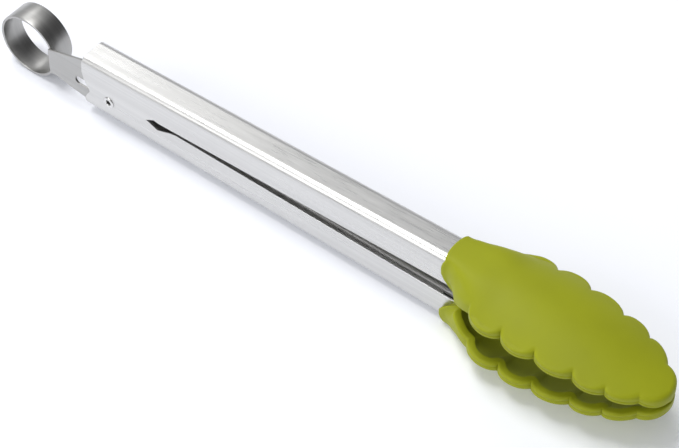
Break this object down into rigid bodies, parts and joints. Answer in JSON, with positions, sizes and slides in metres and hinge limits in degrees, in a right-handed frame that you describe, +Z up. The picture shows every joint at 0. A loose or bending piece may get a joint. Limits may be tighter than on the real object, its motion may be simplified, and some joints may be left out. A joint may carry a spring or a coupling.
{
  "type": "kitchen tongs",
  "caption": "Locking spring tongs with two steel channel arms, scalloped silicone heads and a sliding lock with a hanging ring.",
  "frame": {"origin": "centre of the box around the closed, locked tongs, at the height of the surface they lie on", "axes": "+X runs from the hanging ring to the heads, +Z is up as the tongs lie on their lower arm, the hinge axis runs along Y"},
  "size_m": [0.3018, 0.0416, 0.0357],
  "materials": {
    "arm_steel": "brushed lengthwise, satin",
    "silicone": "matte moulded silicone, lime green",
    "nylon": "moulded, hidden inside the head",
    "rivet_steel": "satin",
    "spring_steel": "drawn wire",
    "lock_steel": "satin"
  },
  "bodies": {
    "lower_arm": {"lower_arm": "arm_steel", "lower_head": "silicone", "lower_head_core": "nylon", "torsion_spring": "spring_steel"},
    "upper_arm": {"upper_arm": "arm_steel", "upper_head": "silicone", "upper_head_core": "nylon"},
    "pivot": {"pivot_rivet": "rivet_steel"},
    "lock": {"lock_plate": "lock_steel", "pull_ring": "lock_steel"}
  },
  "joints": [
    {"name": "arm_hinge", "type": "hinge", "parent": "lower_arm", "child": "upper_arm", "pos_m": [-0.09396, 0, 0.01274], "axis": [0, -1, 0], "range_deg": [0, 28], "deforming": ["torsion_spring"]},
    {"name": "rivet_turn", "type": "hinge", "parent": "lower_arm", "child": "pivot", "pos_m": [-0.09396, 0, 0.01274], "axis": [0, -1, 0], "range_deg": [0, 14]},
    {"name": "lock_slide", "type": "slide", "parent": "pivot", "child": "lock", "axis": [0.9999, 0, 0.0136], "range_m": [0, 0.015]}
  ],
  "couplings": [
    {"joint": "rivet_turn", "follows": "arm_hinge", "ratio": 0.5},
    {"joint": "lock_slide", "follows": "arm_hinge", "m_per_rad": 0.03069}
  ]
}
